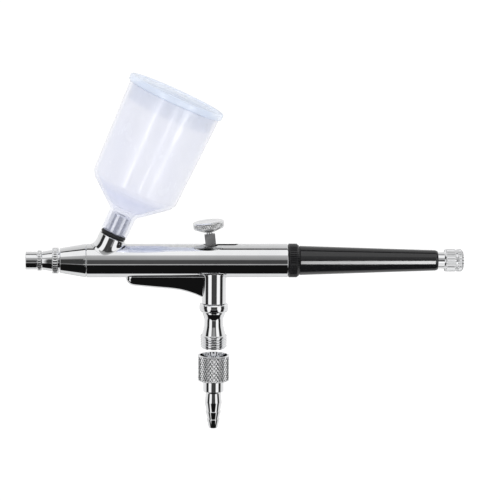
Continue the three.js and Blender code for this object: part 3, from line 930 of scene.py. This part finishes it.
def handle():
    """Tapered black handle with its knurled collar and bush."""
    front, rear = span_x("handle_collar")
    collar = [
        (front, 4.25), (front, 6.25, 0.2), (rear - 0.85, 6.25, 0.3), (rear, 5.6, 0.2),
        (rear, 4.25),
    ]
    knurl = Band(front + 0.15, rear - 0.1, 5.7, 0.2, straight_knurl(48, 0.26, 0.5), 0.2)
    fit("handle_collar", turned(NEEDLE, collar, 48 * 10, [knurl]))

    front, rear = span_x("handle")
    taper = front + 8.35
    grip = [
        (front, 3.3), (front, 3.95, 0.2), (taper, 3.95), (taper, 5.42, 0.35),
        (front + 26.8, 4.81, 60), (front + 43.8, 4.26, 60), (rear - 1.3, 3.79, 2.2),
        (rear, 3.15, 0.3), (rear - 2.6, 3.15), (rear - 2.6, 3.3),
    ]
    socket_thread = Band(front + 0.4, front + 5.2, 3.7, 0.06, screw_thread(0.6, 0.16), 0.3)
    fit("handle", turned(NEEDLE, grip, 168, [socket_thread]))
    sleeve("handle_bush", 1.8, 3.0, 0.3)


def limit_knob():
    """Rod and fluted knob that stop the needle's travel."""
    front, rear = span_x("limit_rod")
    rod = [(front, 0), (front, 1.5, 0.35), (rear, 1.5, 0.3), (rear, 0)]
    rod_thread = Band(rear - 18, rear - 0.6, 1.3, 0.07, screw_thread(0.7, 0.16), 0.4)
    fit("limit_rod", turned(NEEDLE, rod, COARSE, [rod_thread]))

    front, rear = span_x("limit_knob")
    outer = 4.12
    face = rear - 7.1
    groove = rear - 2.6
    knob = [
        (front, 1.8), (front, 3.0, 0.2), (face, 3.0, 0.1), (face + 0.35, outer, 0.2),
        (groove - 0.3, outer, 0.12), (groove - 0.2, 3.75, 0.1), (groove + 0.2, 3.75, 0.1),
        (groove + 0.3, outer, 0.12), (rear - 0.75, outer, 0.7), (rear, 3.3, 0.7),
        (rear, 1.2, 0.5), (rear - 0.25, 0.9, 0.2), (rear - 0.3, 0), (rear - 2.6, 0),
        (rear - 2.6, 1.8),
    ]
    front_flutes = Band(face + 0.4, groove - 0.35, 3.4, 0.12, flutes(22, 0.34), 0.5)
    rear_flutes = Band(groove + 0.35, rear - 0.1, 3.4, 0.12, flutes(22, 0.34), 0.5)
    fit("limit_knob", turned(NEEDLE, knob, 22 * 12, [front_flutes, rear_flutes]))


# ---------------------------------------------------------------- cup

def gravity_cup():
    """Milky cup on its nipple and O-ring, closed by its lid."""
    nipple = [
        (7.0, 1.7), (7.0, 3.0, 0.2), (11.9, 3.0), (11.9, 3.65, 0.15), (18.6, 3.65, 0.35),
        (18.6, 1.7, 0.2),
    ]
    fit("cup_nipple", turned(CUP, nipple, 96))
    o_ring(CUP, "cup_o_ring", 4.0, 0.77)

    cup = [
        (11.6, 3.95, 0.1), (11.6, 5.05, 0.25), (18.9, 5.05, 0.8), (20.0, 5.75, 0.8),
        (27.9, 15.2, 1.6), (29.9, 16.45, 1.6), (65.2, 17.75, 0.2), (65.2, 16.55, 0.2),
        (30.2, 15.3, 1.6), (28.7, 14.3, 1.6), (20.7, 4.7, 0.8), (19.4, 3.95, 0.5),
    ]
    fit("paint_cup", turned(CUP, cup, 192))

    lid = [
        (66.3, 0.9, 0.05), (66.3, 14.9, 0.3), (59.2, 14.9, 0.2), (59.2, 15.95, 0.3),
        (65.4, 16.2, 0.15), (65.4, 18.45, 0.4), (67.85, 18.6, 0.6), (67.85, 16.5, 0.3),
        (67.4, 16.0, 0.4), (67.4, 0.9, 0.05),
    ]
    fit("cup_lid", turned(CUP, lid, 192))


# ---------------------------------------------------------------- camera, light and floor

VIEW_AZIMUTH = math.radians(-3.0)
VIEW_ELEVATION = math.radians(9.5)
VIEW_ROLL = math.radians(-0.49)  # levels the needle's line across the picture
VIEW_DISTANCE = 0.888
VIEW_WIDTH = 0.185  # seen across at the object's distance
AIM = Vector((0.0017, 0, 0.00095))  # from the middle of the object's box


def make_camera():
    """Long lens, a little above the needle's line and to the nozzle's side of the middle."""
    data = bpy.data.cameras.new("camera")
    data.sensor_width = 36.0
    data.lens = data.sensor_width * VIEW_DISTANCE / VIEW_WIDTH
    data.clip_start, data.clip_end = 0.01, 50
    camera = bpy.data.objects.new("camera", data)
    bpy.context.scene.collection.objects.link(camera)
    low, high = cad_box
    flat = math.cos(VIEW_ELEVATION)
    back = Vector((math.sin(VIEW_AZIMUTH) * flat, -math.cos(VIEW_AZIMUTH) * flat,
                   math.sin(VIEW_ELEVATION)))
    camera.rotation_mode = "QUATERNION"
    camera.location = (low + high) / 2 + AIM + back * VIEW_DISTANCE
    level = (-back).to_track_quat("-Z", "Y")
    roll = Matrix.Rotation(VIEW_ROLL, 3, -back).to_quaternion()
    camera.rotation_quaternion = roll @ level
    bpy.context.scene.camera = camera


# Light that bright metal mirrors, by angle round the X axis: 0 towards -Y, 90 straight up,
# 180 towards +Y. Each stop is (degrees, brightness).
BANDS_ROUND_X = [
    (-180, 0.25), (-153, 0.25), (-147, 0.75), (-98, 0.8), (-94, 0.007), (-24, 0.007),
    (-21.5, 0.45), (-17, 0.45), (-14.5, 0.055), (-4, 0.06), (0, 0.1), (4, 0.06), (10, 0.05),
    (14, 0.3), (43, 0.5), (47, 1.0), (88, 1.0), (90, 0.02), (100, 0.02), (102, 0.62),
    (135, 0.75), (180, 0.92),
]
# The same by angle round the Z axis: 0 towards -Y, 90 towards either side.
BANDS_ROUND_Z = [
    (0, 0.05), (24, 0.05), (27, 1.05), (56, 1.05), (60, 0.03), (87, 0.02), (93, 0.8),
    (164, 0.95), (170, 0.22), (180, 0.22),
]


class Sky:
    """Node helpers for the world's shader."""

    def __init__(self):
        world = bpy.data.worlds.new("studio")
        bpy.context.scene.world = world
        world.use_nodes = True
        self.tree = world.node_tree
        self.tree.nodes.clear()
        place = self.node("ShaderNodeTexCoord").outputs["Generated"]
        self.xyz = self.node("ShaderNodeSeparateXYZ", {0: place}).outputs

    def node(self, kind, inputs=(), **settings):
        """A node of the world."""
        return add_node(self.tree, kind, inputs, **settings)

    def math(self, operation, *values):
        """A Math node's result."""
        return math_node(self.tree, operation, *values)

    def bands(self, up, forward, stops):
        """Brightness by the angle of two components, from a list of (degrees, brightness)."""
        turn = self.math("ARCTAN2", up, forward)
        share = self.math("MULTIPLY_ADD", turn, 1 / TAU, 0.5)
        ramp = self.node("ShaderNodeValToRGB", {0: share})
        elements = ramp.color_ramp.elements
        while len(elements) < len(stops):
            elements.new(0.5)
        for element, (degrees, brightness) in zip(elements, stops):
            element.position = degrees / 360 + 0.5
            element.color = (brightness / 2, brightness / 2, brightness / 2, 1)
        return self.math("MULTIPLY", ramp.outputs[0], 2)

    def smooth(self, value, low, high):
        """Smooth step from 0 at low to 1 at high."""
        inputs = {"Value": value, "From Min": low, "From Max": high}
        return self.node("ShaderNodeMapRange", inputs, interpolation_type="SMOOTHSTEP").outputs[0]

    def mix(self, share, one, other):
        """One value turning into the other as share goes from 0 to 1."""
        span = self.math("SUBTRACT", other, one)
        return self.math("MULTIPLY_ADD", span, share, one)


def make_sky():
    """White studio. Mirrors see softboxes and black cards, and everything else an even white."""
    sky = Sky()
    x, y, z = sky.xyz["X"], sky.xyz["Y"], sky.xyz["Z"]
    forward = sky.math("MULTIPLY", y, -1)
    wide = sky.math("ABSOLUTE", x)
    tall = sky.math("ABSOLUTE", z)
    round_x = sky.bands(z, forward, BANDS_ROUND_X)
    round_z = sky.bands(wide, forward, BANDS_ROUND_Z)
    sideways = sky.smooth(sky.math("SUBTRACT", wide, tall), -0.04, 0.1)
    mirrored = sky.mix(sideways, round_x, round_z)
    path = sky.node("ShaderNodeLightPath").outputs
    soft = sky.math("MULTIPLY_ADD", z, 0.12, 1.0)
    seen = sky.mix(path["Is Glossy Ray"], soft, mirrored)
    background = sky.node("ShaderNodeBackground", {"Color": seen, "Strength": 1.0})
    sky.node("ShaderNodeOutputWorld", {"Surface": background.outputs[0]})


def lamp_for(nodes, data, centre, towards, upright):
    """Hangs a lamp that only the polished pieces of the named nodes mirror."""
    lamp = bpy.data.objects.new(data.name, data)
    bpy.context.scene.collection.objects.link(lamp)
    face = (centre - towards).normalized()
    side = upright.cross(face).normalized()
    lamp.rotation_mode = "QUATERNION"
    lamp.rotation_quaternion = Matrix((side, face.cross(side), face)).transposed().to_quaternion()
    lamp.location = centre
    lamp.visible_camera = False
    lamp.visible_diffuse = False
    lamp.visible_transmission = False
    receivers = bpy.data.collections.new(data.name)
    for node in nodes:
        receivers.objects.link(bpy.data.objects[f"{node}_fine"])
    lamp.light_linking.receiver_collection = receivers


def panel(name, radiance, width, height):
    """A flat rectangular lamp, in metres."""
    data = bpy.data.lights.new(name, "AREA")
    data.shape = "RECTANGLE"
    data.size, data.size_y = width, height
    data.energy = radiance * math.pi * width * height
    return data


def globe(name, radiance, radius):
    """A round lamp, in metres."""
    data = bpy.data.lights.new(name, "POINT")
    data.shadow_soft_size = radius
    data.energy = radiance * (2 * math.pi * radius) ** 2
    return data


def widening(data, left, right):
    """Shapes a flat lamp: it glows from its top down to a share of its height.

    left and right are that share at its ends. It is also dimmer on the left.
    """
    data.use_nodes = True
    tree = data.node_tree
    place = add_node(tree, "ShaderNodeNewGeometry").outputs["Parametric"]
    spot = add_node(tree, "ShaderNodeSeparateXYZ", {0: place}).outputs
    across, upwards = spot["X"], spot["Y"]
    height = math_node(tree, "MULTIPLY_ADD", across, right - left, left)
    inside = math_node(tree, "GREATER_THAN", math_node(tree, "ADD", upwards, height), 1)
    glow = math_node(tree, "MULTIPLY_ADD", across, 0.7, 0.45)
    shaped = math_node(tree, "MULTIPLY", inside, glow)
    tree.links.new(shaped, tree.nodes["Emission"].inputs["Strength"])


def make_lamps():
    """Lamps that draw the handle's streak, whiten the knob and line the cup."""
    up = Vector((0, 0, 1))
    streak = panel("streak", 15, 0.115, 0.24)
    widening(streak, 0.33, 0.79)
    hung = Vector((0.1025, -0.24, -0.107))
    lamp_for(["handle"], streak, hung, Vector((hung.x, 0, hung.z)), up)

    knob = Vector((0.088, 0, 0))
    below_knob = knob + Vector((0, -0.12, -0.12))
    lamp_for(["limit_knob"], globe("knob_lamp", 0.9, 0.14), below_knob, knob, up)

    # Each strip runs along the cup, at an angle round it from the camera's side.
    back = (bpy.context.scene.camera.location - (cad_box[0] + cad_box[1]) / 2).normalized()
    along = CUP.along
    middle = (CUP.origin + along * 45) * MM
    ahead = back - along * back.dot(along)
    strips = [(-25, 0.05, 9), (17, 0.02, 14), (45, 0.07, 10)]
    length, distance = 0.4, 0.35
    for i, (degrees, width, radiance) in enumerate(strips):
        mirrored = Matrix.Rotation(math.radians(degrees), 3, along) @ ahead
        mirrored -= along * back.dot(along)
        strip = panel(f"cup_strip_{i}", radiance, width, length)
        lamp_for(["paint_cup", "cup_lid"], strip, middle + mirrored * distance, middle, along)


def make_floor():
    """Wide pale floor well below the object."""
    size = 30.0
    mesh = bpy.data.meshes.new("floor")
    height = cad_box[0].z - 0.05
    spots = [(-size, -size, height), (size, -size, height), (size, size, height),
             (-size, size, height)]
    mesh.from_pydata(spots, [], [(0, 1, 2, 3)])
    finish = Finish("floor", (0.93, 0.93, 0.93), 0.8, Emission_Color=(1, 1, 1, 1),
                    Emission_Strength=0.08)
    paper = finish.mixed(finish.noise(3, 3), (0.94, 0.94, 0.94), (0.92, 0.92, 0.922))
    finish.drive("Base Color", paper)
    mesh.materials.append(finish.material)
    floor = bpy.data.objects.new("floor", mesh)
    bpy.context.scene.collection.objects.link(floor)
    floor.visible_glossy = False


make_camera()
bpy.context.scene.view_settings.view_transform = "Standard"
make_sky()
make_floor()

needle_cap()
nozzle_cap()
spray_head()
nozzle()
main_body()
brazed_pieces()
needle_group()
trigger()
air_valve()
hose_tail()
handle()
limit_knob()
gravity_cup()
make_lamps()
